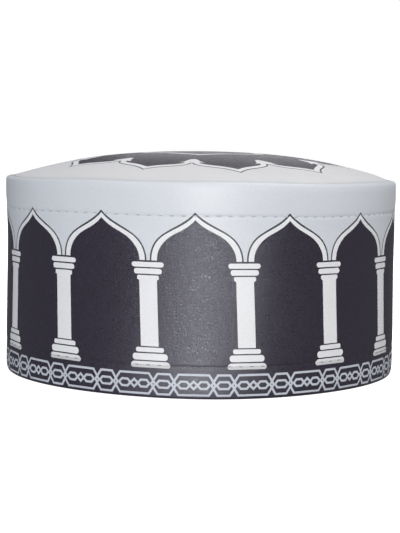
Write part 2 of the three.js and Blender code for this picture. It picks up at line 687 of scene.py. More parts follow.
@dataclass(frozen=True)
class Link:
    """A long hexagon of the chain border, drawn as a line. Without a flat side it is a diamond."""

    half_width: float
    half_flat: float
    half_height: float

    def line(self, middle: float, level: float, width: float) -> Shape:
        """The link's line on the flat band.

        Args:
            middle: The run of the link's middle.
            level: The height of its middle.
            width: The line's width.

        Returns:
            The printed line.
        """
        corners = [
            (-self.half_width, 0),
            (-self.half_flat, -self.half_height),
            (self.half_flat, -self.half_height),
            (self.half_width, 0),
            (self.half_flat, self.half_height),
            (-self.half_flat, self.half_height),
        ]
        if not self.half_flat:
            del corners[5], corners[2]
        middle_line = np.array(corners) + (middle, level)
        return Shape(Ink.CHAIN, grown(middle_line, width / 2), grown(middle_line, -width / 2))


@dataclass(frozen=True)
class ChainBorder:
    """The border of short and long linked hexagons above the hem."""

    periods: int = 21
    node_run: float = -3.8
    short_share: float = 0.3466
    level: float = 6.6
    line_width: float = 1.0
    overlap: float = 0.9
    short_flat: float = 2.75
    long_flat: float = 6.8
    half_height: float = 4.6
    short_heart: Link = Link(3.2, 1.95, 1.55)
    long_heart: Link = Link(2.7, 1.35, 1.55)
    long_heart_away: float = 4.45
    long_knot: Link = Link(1.75, 0.0, 1.7)

    def shapes(self, form: CapForm) -> list[Shape]:
        """The border's lines on the flat band.

        Args:
            form: The form that gives the band's girth.

        Returns:
            The lines. They reach past the closing seam, where the cut drops them.
        """
        pitch = form.girth / self.periods
        short = self.short_share * pitch
        long = pitch - short
        short_link = Link(short / 2 + self.overlap, self.short_flat, self.half_height)
        long_link = Link(long / 2 + self.overlap, self.long_flat, self.half_height)
        first = math.floor((-form.girth / 2 - self.node_run) / pitch) - 1
        placed = []
        for index in range(first, first + self.periods + 3):
            node = self.node_run + index * pitch
            short_middle = node + short / 2
            long_middle = node + short + long / 2
            links = [
                (short_link, short_middle),
                (self.short_heart, short_middle),
                (long_link, long_middle),
                (self.long_heart, long_middle - self.long_heart_away),
                (self.long_knot, long_middle),
                (self.long_heart, long_middle + self.long_heart_away),
            ]
            placed += [link.line(middle, self.level, self.line_width) for link, middle in links]
        return placed


@dataclass(frozen=True)
class Rosette:
    """The flower of ten ogee petals on the crown, round a five-cornered line."""

    petals: int = 10
    tip_degrees: float = 6.9
    cusp_lean: float = -0.8
    tips_x: float = 72.0
    tips_y: float = 67.0
    tips_bulge: float = 0.06
    outline_width: float = 0.85
    band_width: float = 2.6
    # Half a petal, from its tip to its cusp: degrees from the tip, and the share of the tip's reach there
    half_petal: tuple[tuple[float, float], ...] = (
        (0, 1.0),
        (1, 0.982),
        (2, 0.966),
        (4, 0.943),
        (6, 0.927),
        (8, 0.915),
        (10, 0.905),
        (12, 0.893),
        (14, 0.879),
        (16, 0.859),
        (17.2, 0.838),
        (18, 0.806),
    )
    # Half a spur, from its root to its end: the share of its length, and how far it is from its middle line
    half_spur: tuple[tuple[float, float], ...] = (
        (0, 6.2),
        (0.12, 4.8),
        (0.3, 3.6),
        (0.55, 2.7),
        (0.78, 2.0),
        (0.92, 1.2),
        (1.0, 0),
    )
    # How far the print is drawn forwards at some bearings, where the cloth was sewn in a little askew
    drawn_forwards: tuple[tuple[float, float], ...] = (
        (-30, 0),
        (-11, 0.5),
        (6.9, 2.8),
        (24.9, 1.0),
        (42.9, 3.6),
        (60.9, 3.8),
        (79, 3.6),
        (115, 2.4),
        (150, 0),
    )
    spurs_x: float = 51.5
    spurs_y: float = 45.5
    inner_corners: int = 5
    inner_reach: float = 31.0
    inner_width: float = 2.8
    # How far inside the print's edge the spurs start, and how many straight pieces half a petal has
    spur_root: float = 1.2
    half_petal_steps: int = 24

    def ring(self, bearing: Points, share: Points) -> Points:
        """Points inside the wide oval that the petals' tips lie on.

        Args:
            bearing: Bearings in radians, from 0 at -Y.
            share: The share of the reach to the oval at each.

        Returns:
            The points, seen from above.
        """
        degrees, forwards = np.array(self.drawn_forwards).T
        across = self.tips_x * (1 + self.tips_bulge * np.sin(bearing) ** 4) * np.sin(bearing)
        drawn = np.interp(np.degrees(bearing), degrees, forwards, period=360)
        ahead = self.tips_y * np.cos(bearing) + drawn
        return np.stack([share * across, -share * ahead], axis=-1)

    def inset(self, amount: float) -> Points:
        """The petals' outline moved inwards.

        Args:
            amount: How far, with 0 for the print's own edge.

        Returns:
            Its points, seen from above.
        """
        angles, shares = np.array(self.half_petal).T
        fine = np.linspace(0, angles[-1], self.half_petal_steps + 1)
        reach = np.interp(fine, angles, shares)
        outline = []
        for petal in range(self.petals):
            middle = self.tip_degrees + petal * 360 / self.petals
            for side in (-1, 1):
                stretched = fine * (1 + side * self.cusp_lean / angles[-1])
                curve = self.ring(np.radians(middle + side * stretched), reach)
                along = np.gradient(curve, axis=0)
                inward = side * np.column_stack([-along[:, 1], along[:, 0]])
                inward /= np.linalg.norm(inward, axis=1, keepdims=True)
                moved = curve + amount * inward
                # What has crossed the line through the petal's tip is cut off there
                tip = curve[0] / np.linalg.norm(curve[0])
                beside = side * (tip[0] * moved[:, 1] - tip[1] * moved[:, 0])
                first = int(np.argmax(beside > TINY))
                if first:
                    share = beside[first - 1] / (beside[first - 1] - beside[first])
                    crossing = moved[first - 1] + share * (moved[first] - moved[first - 1])
                    moved = np.concatenate([[crossing], moved[first:]])
                outline.append(moved if side > 0 else moved[:0:-1])
        return np.concatenate(outline)

    def spur(self, cusp: int) -> Points:
        """The rounded white hump that points inwards from a cusp.

        Args:
            cusp: Which cusp, counted from the first petal.

        Returns:
            Its outline seen from above, anticlockwise.
        """
        bearing = math.radians(self.tip_degrees + (cusp + 0.5) * 360 / self.petals + self.cusp_lean)
        start = self.ring(np.array(bearing), self.half_petal[-1][1])
        end = np.array([self.spurs_x * math.sin(bearing), -self.spurs_y * math.cos(bearing)])
        outer = start / np.linalg.norm(start)
        side = np.array([-outer[1], outer[0]])
        share, half = np.array(self.half_spur).T
        root = math.hypot(*start) - self.spur_root
        reach = root - share * (root - math.hypot(*end))
        right_half = reach[:, None] * outer + half[:, None] * side
        left_half = reach[:, None] * outer - half[:, None] * side
        return np.concatenate([right_half, left_half[-2::-1]])

    def shapes(self) -> list[Shape]:
        """Everything printed on the crown, seen from above.

        Returns:
            The shapes in the order of printing.
        """
        first = self.tip_degrees - 180 / self.petals
        corners = np.radians(first + 360 / self.inner_corners * np.arange(self.inner_corners))
        five = self.inner_reach * np.column_stack([np.sin(corners), -np.cos(corners)])
        return [
            Shape(Ink.OUTLINE, self.inset(0)),
            Shape(Ink.WHITE, self.inset(self.outline_width)),
            Shape(Ink.CHARCOAL, self.inset(self.outline_width + self.band_width)),
            *(Shape(Ink.WHITE, self.spur(cusp)) for cusp in range(self.petals)),
            Shape(Ink.WHITE, grown(five, self.inner_width / 2), grown(five, -self.inner_width / 2)),
        ]


# Materials


def linear(value: float) -> float:
    """One sRGB channel, from 0 to 1, as linear light."""
    return value / 12.92 if value <= 0.04045 else ((value + 0.055) / 1.055) ** 2.4


def colour(code: str) -> tuple[float, float, float, float]:
    """An sRGB hex colour such as "3a3540" as linear RGBA."""
    return (*(linear(int(code[k : k + 2], 16) / 255) for k in (0, 2, 4)), 1.0)


def add_node(
    tree: bpy.types.NodeTree,
    kind: str,
    inputs: dict[str | int, object] | None = None,
    **settings: object,
) -> bpy.types.Node:
    """Adds a node with its settings and links.

    Args:
        tree: The node tree.
        kind: The node's type name.
        inputs: A value or an output socket for each input that isn't left as it is.
        settings: Attributes of the node itself.

    Returns:
        The new node.
    """
    node = tree.nodes.new(kind)
    for name, value in settings.items():
        setattr(node, name, value)
    for key, value in (inputs or {}).items():
        if isinstance(value, bpy.types.NodeSocket):
            tree.links.new(value, node.inputs[key])
        else:
            node.inputs[key].default_value = value
    return node


@dataclass(frozen=True)
class ClothFinish:
    """Smooth polyester cloth, woven so close that its threads show only as a fine grain."""

    name: str
    code: str
    roughness: float = 0.52
    sheen: float = 0.1
    specular: float = 0.5
    gloss: str = "ffffff"
    unevenness: float = 0.06
    grain: float = 0.03
    mottle: float = 0.015
    bump: float = 0.15
    # The grain's relief against the weave's
    fuzz: float = 1.4
    # The real threads are about 0.25 mm apart and their fuzz is finer still. Both are too fine to show where
    # a pixel is half a millimetre, so they are drawn coarser
    thread_mm: float = 0.5
    grain_mm: float = 0.8
    mottle_mm: float = 14.0
    relief_mm: float = 0.06

    def material(self) -> bpy.types.Material:
        """The cloth's material.

        Returns:
            A new material.
        """
        material = bpy.data.materials.new(self.name)
        material.use_nodes = True
        tree = material.node_tree
        tree.nodes.clear()
        place = add_node(tree, "ShaderNodeTexCoord").outputs["Object"]
        path = add_node(tree, "ShaderNodeAttribute", attribute_name="cloth_path").outputs["Vector"]
        crease = add_node(tree, "ShaderNodeAttribute", attribute_name="painted_crease_shade").outputs["Fac"]
        grain = add_node(
            tree,
            "ShaderNodeTexNoise",
            {"Vector": place, "Scale": 1 / (self.grain_mm * MM), "Detail": 2.0, "Roughness": 0.6},
        )
        mottle = add_node(
            tree,
            "ShaderNodeTexNoise",
            {"Vector": place, "Scale": 1 / (self.mottle_mm * MM), "Detail": 2.0},
        )
        base = colour(self.code)
        shade = 1 - self.grain - self.mottle
        light = 1 + self.grain + self.mottle
        both = add_node(
            tree,
            "ShaderNodeMix",
            {
                "Factor": self.grain / (self.grain + self.mottle),
                "A": mottle.outputs["Fac"],
                "B": grain.outputs["Fac"],
            },
        )
        tone = add_node(
            tree,
            "ShaderNodeMapRange",
            {
                "Value": both.outputs["Result"],
                "From Min": NOISE_LOW,
                "From Max": NOISE_HIGH,
                "To Min": shade,
                "To Max": light,
            },
        )
        # The painted shade darkens the cloth's tone under the seams and along the crease
        shaded = add_node(
            tree, "ShaderNodeMath", {0: tone.outputs["Result"], 1: crease}, operation="MULTIPLY"
        )
        tint = add_node(
            tree,
            "ShaderNodeVectorMath",
            {0: base[:3], 1: shaded.outputs["Value"]},
            operation="MULTIPLY",
        )
        threads = [
            add_node(
                tree,
                "ShaderNodeTexWave",
                {
                    "Vector": path,
                    "Scale": 1 / (self.thread_mm * MM) / WAVES_PER_UNIT,
                    "Distortion": 0.6,
                    "Detail": 1.0,
                },
                bands_direction=axis,
            ).outputs["Fac"]
            for axis in ("X", "Y")
        ]
        weave = add_node(tree, "ShaderNodeMath", {0: threads[0], 1: threads[1]}, operation="MAXIMUM")
        relief = add_node(
            tree,
            "ShaderNodeMath",
            {0: grain.outputs["Fac"], 1: self.fuzz, 2: weave.outputs["Value"]},
            operation="MULTIPLY_ADD",
        )
        bump = add_node(
            tree,
            "ShaderNodeBump",
            {
                "Height": relief.outputs["Value"],
                "Strength": self.bump,
                "Distance": self.relief_mm * MM,
            },
        )
        shine = add_node(
            tree,
            "ShaderNodeMapRange",
            {
                "Value": grain.outputs["Fac"],
                "From Min": NOISE_LOW,
                "From Max": NOISE_HIGH,
                "To Min": self.roughness - self.unevenness,
                "To Max": self.roughness + self.unevenness,
            },
        )
        cloth = add_node(
            tree,
            "ShaderNodeBsdfPrincipled",
            {
                "Base Color": tint.outputs["Vector"],
                "Roughness": shine.outputs["Result"],
                "Specular IOR Level": self.specular,
                "Specular Tint": colour(self.gloss),
                "Sheen Weight": self.sheen,
                "Sheen Roughness": 0.5,
                "Normal": bump.outputs["Normal"],
            },
        )
        add_node(tree, "ShaderNodeOutputMaterial", {"Surface": cloth.outputs["BSDF"]})
        return material


# All of it is one closely woven polyester, with its print dyed into the threads, so the weave still shows
FINISHES: dict[Ink, ClothFinish] = {
    # The dark dye is pressed in: a satin gloss where the face mirrors a light, broken up by the fuzz
    Ink.CHARCOAL: ClothFinish(
        "charcoal_printed_polyester",
        "2e2836",
        roughness=0.38,
        sheen=0.0,
        specular=0.8,
        gloss="f4f8ff",
        unevenness=0.13,
        grain=0.2,
        mottle=0.04,
        bump=0.7,
        fuzz=2.6,
    ),
    # Bleached threads without dye: the brightest and plainest cloth, nearly matt
    Ink.WHITE: ClothFinish("white_bleached_polyester", "efeff1"),
    # A thin wash of dye: cool grey, with a broad and faintly warm gloss
    Ink.PALE: ClothFinish(
        "pale_printed_polyester", "dce0e6", roughness=0.46, specular=0.56, gloss="fff4ea"
    ),
    # The crown's light ground: even, nearly white and nearly matt
    Ink.CROWN: ClothFinish("light_dyed_polyester", "e0e0e2"),
    # Thin grey lines that have bled a little into the threads, so that their edges look soft
    Ink.OUTLINE: ClothFinish("outline_printed_polyester", "42444d", grain=0.06),
    # The chain's light lines, which look bluish and duller than the white between so much dark dye
    Ink.CHAIN: ClothFinish("chain_printed_polyester", "c8ccd6"),
    # The bare back of the cloth: warm and dull, with the coarsest look
    Ink.BACKING: ClothFinish("bare_polyester_back", "e6e3dc", roughness=0.8, grain=0.05),
}


@dataclass(frozen=True)
class ThreadFinish:
    """Spun polyester sewing thread, a little fuzzy, with a twist that shows as fine slanting stripes."""

    name: str
    code: str
    roughness: float
    # Real twists are about 0.2 mm apart, too fine to show, so they are drawn coarser
    twist_mm: float = 0.5
    bump: float = 0.4
    relief_mm: float = 0.05

    def material(self) -> bpy.types.Material:
        """The thread's material.

        Returns:
            A new material.
        """
        material = bpy.data.materials.new(self.name)
        material.use_nodes = True
        tree = material.node_tree
        tree.nodes.clear()
        place = add_node(tree, "ShaderNodeTexCoord").outputs["Object"]
        twist = add_node(
            tree,
            "ShaderNodeTexWave",
            {"Vector": place, "Scale": 1 / (self.twist_mm * MM) / WAVES_PER_UNIT, "Distortion": 1.5},
            bands_direction="DIAGONAL",
        )
        base = colour(self.code)
        tone = add_node(
            tree, "ShaderNodeMapRange", {"Value": twist.outputs["Fac"], "To Min": 0.8, "To Max": 1.1}
        )
        tint = add_node(
            tree, "ShaderNodeVectorMath", {0: base[:3], 1: tone.outputs["Result"]}, operation="MULTIPLY"
        )
        bump = add_node(
            tree,
            "ShaderNodeBump",
            {
                "Height": twist.outputs["Fac"],
                "Strength": self.bump,
                "Distance": self.relief_mm * MM,
            },
        )
        thread = add_node(
            tree,
            "ShaderNodeBsdfPrincipled",
            {
                "Base Color": tint.outputs["Vector"],
                "Roughness": self.roughness,
                "Sheen Weight": 0.2,
                "Normal": bump.outputs["Normal"],
            },
        )
        add_node(tree, "ShaderNodeOutputMaterial", {"Surface": thread.outputs["BSDF"]})
        return material


# A glossier thread than most, which catches the light as a row of small pale dashes
PALE_THREAD = ThreadFinish("pale_polyester_thread", "c0c5ce", roughness=0.5)
# Dull and as dark as the ground, so that only its relief shows along the crease
CHARCOAL_THREAD = ThreadFinish("charcoal_polyester_thread", "3a3643", roughness=0.6)


@dataclass
class Wardrobe:
    """The cloth materials that are made so far."""

    made: dict[Ink, bpy.types.Material] = field(default_factory=dict)

    def cloth(self, ink: Ink) -> bpy.types.Material:
        """The material of an ink, made when it is first wanted.

        Args:
            ink: The ink.

        Returns:
            Its material.
        """
        if ink not in self.made:
            self.made[ink] = FINISHES[ink].material()
        return self.made[ink]


# Meshes


@dataclass
class ClothPiece:
    """The patches of one sewn piece, gathered until they are merged into one closed mesh."""

    name: str
    points: list[Points] = field(default_factory=list)
    normals: list[Points] = field(default_factory=list)
    faces: list[Points] = field(default_factory=list)
    inks: list[Ink] = field(default_factory=list)
    paths: list[Points] = field(default_factory=list)
    painted_shades: list[Points] = field(default_factory=list)
    bakes: list[Points] = field(default_factory=list)

    def add_patch(
        self,
        points: Points,
        normals: Points,
        faces: Points,
        inks: Sequence[Ink],
        path: Points,
        shade: Points,
        bake: Points,
    ) -> None:
        """Adds a patch of cloth.

        Args:
            points: Its points, in millimetres.
            normals: The surface's direction at each point.
            faces: Three point numbers for each triangle, anticlockwise from outside.
            inks: Each triangle's ink.
            path: Where each point lies on the flat cloth, in millimetres.
            shade: The painted shade at each triangle's corners, how much of its colour the cloth keeps: less
                in a crease and under the seams.
            bake: Where each corner of each triangle lies on the bake map.
        """
        first = sum(map(len, self.points))
        self.points.append(points)
        self.normals.append(normals)
        self.faces.append(faces + first)
        self.inks += inks
        self.paths.append(path[faces])
        self.painted_shades.append(shade)
        self.bakes.append(bake)

    def build(self, wardrobe: Wardrobe) -> bpy.types.Object:
        """Merges the patches into one object, in metres.

        Args:
            wardrobe: The cloth materials.

        Returns:
            The object, with a material for each ink on it.
        """
        inks = sorted(set(self.inks), key=lambda ink: ink.value)
        numbers = {ink: number for number, ink in enumerate(inks)}
        mesh = bpy.data.meshes.new(self.name)
        points = np.concatenate(self.points) * MM
        mesh.from_pydata(points.tolist(), [], np.concatenate(self.faces).tolist())
        for ink in inks:
            mesh.materials.append(wardrobe.cloth(ink))
        mesh.polygons.foreach_set("material_index", [numbers[ink] for ink in self.inks])
        mesh.polygons.foreach_set("use_smooth", np.ones(len(mesh.polygons), bool))
        mesh.uv_layers.new(name="OFBake").data.foreach_set("uv", np.concatenate(self.bakes).ravel())
        path = mesh.attributes.new("cloth_path", "FLOAT_VECTOR", "CORNER")
        flat = np.concatenate(self.paths).reshape(-1, 2) * MM
        path.data.foreach_set("vector", np.pad(flat, ((0, 0), (0, 1))).ravel())
        # Painted shade under the seams and along the crease, kept at each corner
        shade = mesh.attributes.new("painted_crease_shade", "FLOAT", "CORNER")
        shade.data.foreach_set("value", np.concatenate(self.painted_shades).ravel())
        facing = mesh.attributes.new("facing", "FLOAT_VECTOR", "POINT")
        facing.data.foreach_set("vector", np.concatenate(self.normals).ravel())
        self.merge(mesh)
        piece = bpy.data.objects.new(self.name, mesh)
        bpy.context.scene.collection.objects.link(piece)
        return piece

    def merge(self, mesh: bpy.types.Mesh) -> None:
        """Sews the patches' shared edges together and sets the smooth directions.

        Args:
            mesh: The patches in one mesh, with the direction of each point in its facing attribute.
        """
        work = bmesh.new()
        work.from_mesh(mesh)
        bmesh.ops.remove_doubles(work, verts=work.verts, dist=SEWING_ROOM)
        bmesh.ops.dissolve_degenerate(work, edges=work.edges, dist=SHORTEST_EDGE)
        open_edges = sum(not edge.is_manifold for edge in work.edges)
        volume = work.calc_volume(signed=True)
        work.to_mesh(mesh)
        work.free()
        facing = np.empty(3 * len(mesh.vertices))
        mesh.attributes["facing"].data.foreach_get("vector", facing)
        mesh.attributes.remove(mesh.attributes["facing"])
        mesh.normals_split_custom_set_from_vertices(facing.reshape(-1, 3).tolist())
        LOG.info(
            "%s: %d faces, %d open edges, %.1f ml of cloth",
            self.name,
            len(mesh.polygons),
            open_edges,
            volume * MILLILITRES,
        )


def ring_faces(rows: int, columns: int) -> Points:
    """Triangles between neighbouring rows of points, whose last column repeats the first.

    Args:
        rows: How many rows there are.
        columns: How many points a row has.

    Returns:
        Three point numbers for each triangle.
    """
    row, column = np.meshgrid(np.arange(rows - 1), np.arange(columns - 1), indexing="ij")
    here = (row * columns + column).ravel()
    over = here + columns
    return np.concatenate(
        [np.column_stack([here, here + 1, over + 1]), np.column_stack([here, over + 1, over])]
    )


def face_directions(path: Points) -> Points:
    """The direction out of a section along its edge.

    Args:
        path: Points of the edge, in an order that has the outside on the right.

    Returns:
        The direction at each point.
    """
    along = np.gradient(path, axis=0)
    along /= np.linalg.norm(along, axis=1, keepdims=True)
    return np.column_stack([along[:, 1], -along[:, 0]])


# Sub-assemblies


@dataclass
class SideBand:
    """The printed side band: a strip sewn into an oval, its top doubled and its hem turned up inside."""

    form: CapForm
    arcade: Arcade = field(default_factory=Arcade)
    border: ChainBorder = field(default_factory=ChainBorder)
    upper_stitches: float = 81.7
    lower_stitches: float = 15.0
    # The section, anticlockwise from the resting ring: how far out from the plain oval, and how high
    section: tuple[tuple[float, float], ...] = (
        (-1.2, 0),
        (-0.35, 0.35),
        (0.1, 1.3),
        (0.35, 3),
        (0.45, 6),
        (0.42, 10),
        (0.36, 13),
        (0.28, 14.5),
        (0.12, 15),
        (0.3, 15.5),
        (0.38, 17.5),
        (0.34, 25),
        (0.16, 34),
        (0, 43),
        (-0.2, 52),
        (-0.32, 62),
        (-0.3, 71),
        (-0.2, 77),
        (-0.1, 80.9),
        (-0.32, 81.7),
        (-0.04, 82.5),
        (0.2, 86),
        (0.32, 90),
        (0.32, 93.4),
        (0.18, 95.3),
        (-0.4, 96.25),
        (-1.4, 96.66),
        (-2.7, 96.85),
        (-3.25, 96.5),
        (-3.4, 95.6),
        (-3.4, 90),
        (-3.35, 82.4),
        (-2.2, 80.2),
        (-2.32, 62),
        (-2, 43),
        (-1.8, 17.8),
        (-2.1, 17.1),
        (-3.0, 16.4),
        (-2.9, 6),
        (-3.0, 0.8),
        (-2.6, 0),
    )
    wall_low: float = 1.3
    wall_high: float = 92.0
    column_step: float = 2.4
    row_step: float = 2.4
    section_step: float = 0.3
    # How far rows of points lie from a crease, and how close even rows may come to them and the springing
    fine_rows: tuple[float, ...] = (0.3, 0.6, 1.0, 1.6, 2.5)
    fine_room: float = 0.8
    spring_room: float = 0.9
    # How far columns of points lie from the closing seam, and how close the even columns may come to it
    beside_closing: tuple[float, ...] = (0.4, 0.8, 1.2, 1.6)
    closing_room: float = 2.0
    # How close a fill point may come to the quarters' columns and to the springing's row
    quarter_gap: float = 0.5
    spring_gap: float = 0.1
    # How far apart the points are that give the outer face its direction
    slope_step: float = 0.05
    # The most between the rings of the rolled top, the inside and the hem, and the most degrees
    ring_step: float = 3.5
    ring_turn: float = 9.0
    # A ring this far out is still on the outer face, and the hem's inner face is this far in
    outer_from: float = -0.9
    hem_face: float = -2.98
    # Heights where the inside starts, its doubled top ends and its hem starts, and of the resting ring
    inside_top: float = 96.0
    doubled_from: float = 80.5
    hem_top: float = 17.5
    resting: float = 0.02
    # The bake map in millimetres: its side, the room round a strip, a strip's height and the ground's
    map_mm: float = 292.0
    map_room: float = 2.0
    map_strip: float = 108.0
    map_ground: float = 6.0
    # Painted shade: how much of its colour the outer face keeps at a height, darker under the seams and
    # along the crease where shade falls
    painted_shades: tuple[tuple[float, float], ...] = (
        (14.5, 1.0),
        (15.0, 0.86),
        (15.4, 1.0),
        (81.2, 1.0),
        (81.7, 0.97),
        (82.2, 1.0),
        (95.2, 1.0),
        (95.8, 0.96),
        (96.3, 0.9),
        (96.6, 0.86),
        (96.9, 0.84),
    )
    # White print below the crease gets a deeper painted shade, standing in for the crease's shadow
    white_crease_shadow: float = 0.72
    # How far the print lies nearer the front than an even one, at most, and the run where that starts
    right_creep: tuple[float, float] = (8.0, 50.0)
    left_creep: tuple[float, float] = (12.0, 75.0)
    left_creep_at_hem: float = 0.4

    @property
    def spring(self) -> float:
        """The height where the arches rise from their columns and the ground turns pale."""
        return self.arcade.field_line.spring

    def crept(self, shape: Shape) -> Shape:
        """Moves a shape to where the stretched cloth has it, nearer the front towards the sides.

        Args:
            shape: The shape on an even print.

        Returns:
            The moved shape.
        """
        edges = []
        for edge in (shape.edge, shape.hole):
            if edge is None:
                edges.append(None)
                continue
            moved = edge.copy()
            foot = self.left_creep_at_hem
            for side, (most, start), share in (
                (1, self.right_creep, 1.0),
                (-1, self.left_creep, foot + (1 - foot) * edge[:, 1] / self.arcade.middle_line.apex),
            ):
                way = np.clip((side * edge[:, 0] - start) / (self.form.girth / 2 - start), 0, 1)
                moved[:, 0] -= side * share * most * np.sin(math.pi * way) ** 2
            edges.append(moved)
        return Shape(shape.ink, *edges)

    def shade(self, up: Points) -> Points:
        """The painted shade of the outer face at some heights: how much of its colour it keeps."""
        heights, kept = np.array(self.painted_shades).T
        return np.interp(up, heights, kept)

    @cached_property
    def curve(self) -> Points:
        """The section as a smooth closed curve that stays above the ground.

        Returns:
            How far out and how high each of its points is.
        """
        loop = smooth_loop(np.array(self.section, float), self.section_step)
        loop[:, 1] = np.maximum(loop[:, 1], 0)
        return loop

    @cached_property
    def wall_curve(self) -> Points:
        """The part of the section that is the plain outer face, from the hem up."""
        top = int(np.argmax(self.curve[:, 1]))
        return self.curve[:top]

    def wall_out(self, up: Points) -> Points:
        """How far out the outer face stands at a height."""
        return np.interp(up, self.wall_curve[:, 1], self.wall_curve[:, 0])

    def wall(self, run: Points, up: Points) -> Points:
        """Points of the outer face."""
        return self.form.on_wall(run, up, self.wall_out(up) - self.form.closing(run, up))

    def columns(self) -> Points:
        """The columns of points, closer beside the closing seam.

        Returns:
            Their runs, once round from the middle of the back.
        """
        half = self.form.girth / 2
        # A multiple of four, so that a column stands on each quarter
        count = round(half / self.column_step / 2) * 4
        even = np.linspace(-half, half, count + 1)
        beside = np.array(self.beside_closing)
        inner = even[np.abs(even) < half - self.closing_room]
        return np.concatenate([[-half], -half + beside, inner, half - beside[::-1], [half]])

    def rows(self) -> Points:
        """The rows of points on the outer face, closer at the creases.

        Returns:
            Their heights.
        """
        count = round((self.wall_high - self.wall_low) / self.row_step)
        even = np.linspace(self.wall_low, self.wall_high, count + 1)
        creases = [self.lower_stitches, self.upper_stitches]
        away = np.abs(even[:, None] - creases).min(axis=1)
        apart = away > self.fine_rows[-1] + self.fine_room
        even = even[apart & (np.abs(even - self.spring) > self.spring_room)]
        steps = [side * step for side in (-1, 1) for step in self.fine_rows]
        fine = [crease + step for crease in creases for step in steps]
        return np.unique([*even, *fine, *creases, self.spring])

    def ground(self, flat: Points) -> list[Ink]:
        """The unprinted cloth's ink: charcoal below the arches' springing and pale above it."""
        return [Ink.PALE if up > self.spring else Ink.CHARCOAL for up in flat[:, 1]]

    def chart(self, flat: Points, faces: Points, level: float, scale: float) -> Points:
        """Where the corners of triangles lie on the bake map.

        The outer face has two strips, the front half's and the back half's. The inner face has one at half
        size.

        Args:
            flat: The run and the height or the path length of each point.
            faces: Three point numbers for each triangle.
            level: How high the strip of the front half starts on the map.
            scale: 1 for the outer face and 0.5 for the inner one.

        Returns:
            The map's coordinates, a row for each corner.
        """
        corners = flat[faces]
        middle = corners[:, :, 0].mean(axis=1)
        quarter = self.form.girth / 4
        if scale == 1:
            behind = np.abs(middle) > quarter
            shift = np.where(behind, np.where(middle > 0, -quarter, 3 * quarter), quarter)
            rise = np.where(behind, self.map_strip + self.map_room, 0)
        else:
            shift, rise = np.full(len(faces), 2 * quarter), np.zeros(len(faces))
        across = (corners[:, :, 0] + shift[:, None]) * scale
        along = corners[:, :, 1] * scale + rise[:, None] + level
        return ((np.stack([across, along], axis=-1) + self.map_room) / self.map_mm).reshape(-1, 2)

    def outer_face(self, piece: ClothPiece) -> None:
        """Adds the printed outer face.

        Args:
            piece: The piece that it is added to.
        """
        columns, rows = self.columns(), self.rows()
        fill = np.stack(np.meshgrid(columns[1:-1], rows[1:-1], indexing="ij"), axis=-1).reshape(-1, 2)
        quarter = self.form.girth / 4
        off_quarters = np.abs(np.abs(fill[:, 0]) - quarter) > self.quarter_gap
        off_spring = np.abs(fill[:, 1] - self.spring) > self.spring_gap
        lines = [np.column_stack([columns, np.full(len(columns), up)]) for up in (rows[0], rows[-1])]
        lines += [
            np.column_stack([np.full(len(rows), run), rows])
            for run in (columns[0], -quarter, quarter, columns[-1])
        ]
        lines.append(np.column_stack([columns, np.full(len(columns), self.spring)]))
        printed = [*self.arcade.shapes(self.form), *self.border.shapes(self.form)]
        half = self.form.girth / 2
        cut = cut_cloth(
            fill[off_quarters & off_spring],
            lines,
            [self.crept(shape) for shape in printed],
            self.ground,
            lambda flat: (np.abs(flat[:, 0]) < half)
            & (flat[:, 1] > self.wall_low)
            & (flat[:, 1] < self.wall_high),
        )
        run, up = cut.points.T
        points = self.wall(run, up)
        step = self.slope_step
        across = self.wall(run + step, up) - self.wall(run - step, up)
        along = self.wall(run, up + step) - self.wall(run, up - step)
        normals = np.cross(across, along)
        normals /= np.linalg.norm(normals, axis=1, keepdims=True)
        bake = self.chart(cut.points + (0, self.map_ground), cut.faces, 0, 1)
        # Painted shade under the seams and along the crease, deeper still on white print below the crease
        heights = up[cut.faces]
        is_white = np.array([ink is Ink.WHITE for ink in cut.inks])
        # Painted shadow of the crease on the white print below it
        in_crease_shadow = is_white[:, None] & (heights.mean(axis=1) < self.lower_stitches)[:, None]
        shade = self.shade(heights) * np.where(in_crease_shadow, self.white_crease_shadow, 1)
        piece.add_patch(points, normals, cut.faces, cut.inks, cut.points, shade, bake)

    def edges_and_inside(self, piece: ClothPiece) -> None:
        """Adds the rolled top, the inner face and the turned hem.

        Args:
            piece: The piece that they are added to.
        """
        curve = self.curve
        start = [self.wall_out(np.array(self.wall_high)), self.wall_high]
        end = [self.wall_out(np.array(self.wall_low)), self.wall_low]
        last_wall = int(np.flatnonzero((curve[:, 1] >= self.wall_high))[0])
        hem = np.flatnonzero((curve[:, 1] < self.wall_low) & (np.arange(len(curve)) < last_wall))
        path = np.concatenate([[start], curve[last_wall:], curve[hem], [end]])
        directions = face_directions(path)
        kept = thinned(path, self.ring_step, self.ring_turn)
        lengths = path_lengths(path)[kept]
        path, directions = path[kept], directions[kept]
        columns = self.columns()
        run, out = np.meshgrid(columns, path[:, 0])
        up = np.repeat(path[:, 1][:, None], len(columns), axis=1)
        outer = (path[:, 0] > self.outer_from).astype(float)[:, None]
        points = self.form.on_wall(run, up, out - outer * self.form.closing(run, up))
        _, outward = self.form.oval(self.form.turn_at(run))
        sideways, upwards = directions.T[:, :, None, None]
        normals = np.concatenate(
            [outward * sideways, np.broadcast_to(upwards, (*run.shape, 1))], axis=-1
        )
        faces = ring_faces(len(path), len(columns))
        flat = np.stack([run, np.repeat(lengths[:, None], len(columns), axis=1)], axis=-1).reshape(-1, 2)
        first_ring = faces[:, 0] // len(columns)
        self.add_rings(
            piece, points.reshape(-1, 3), normals.reshape(-1, 3), faces, flat, path, lengths, first_ring
        )

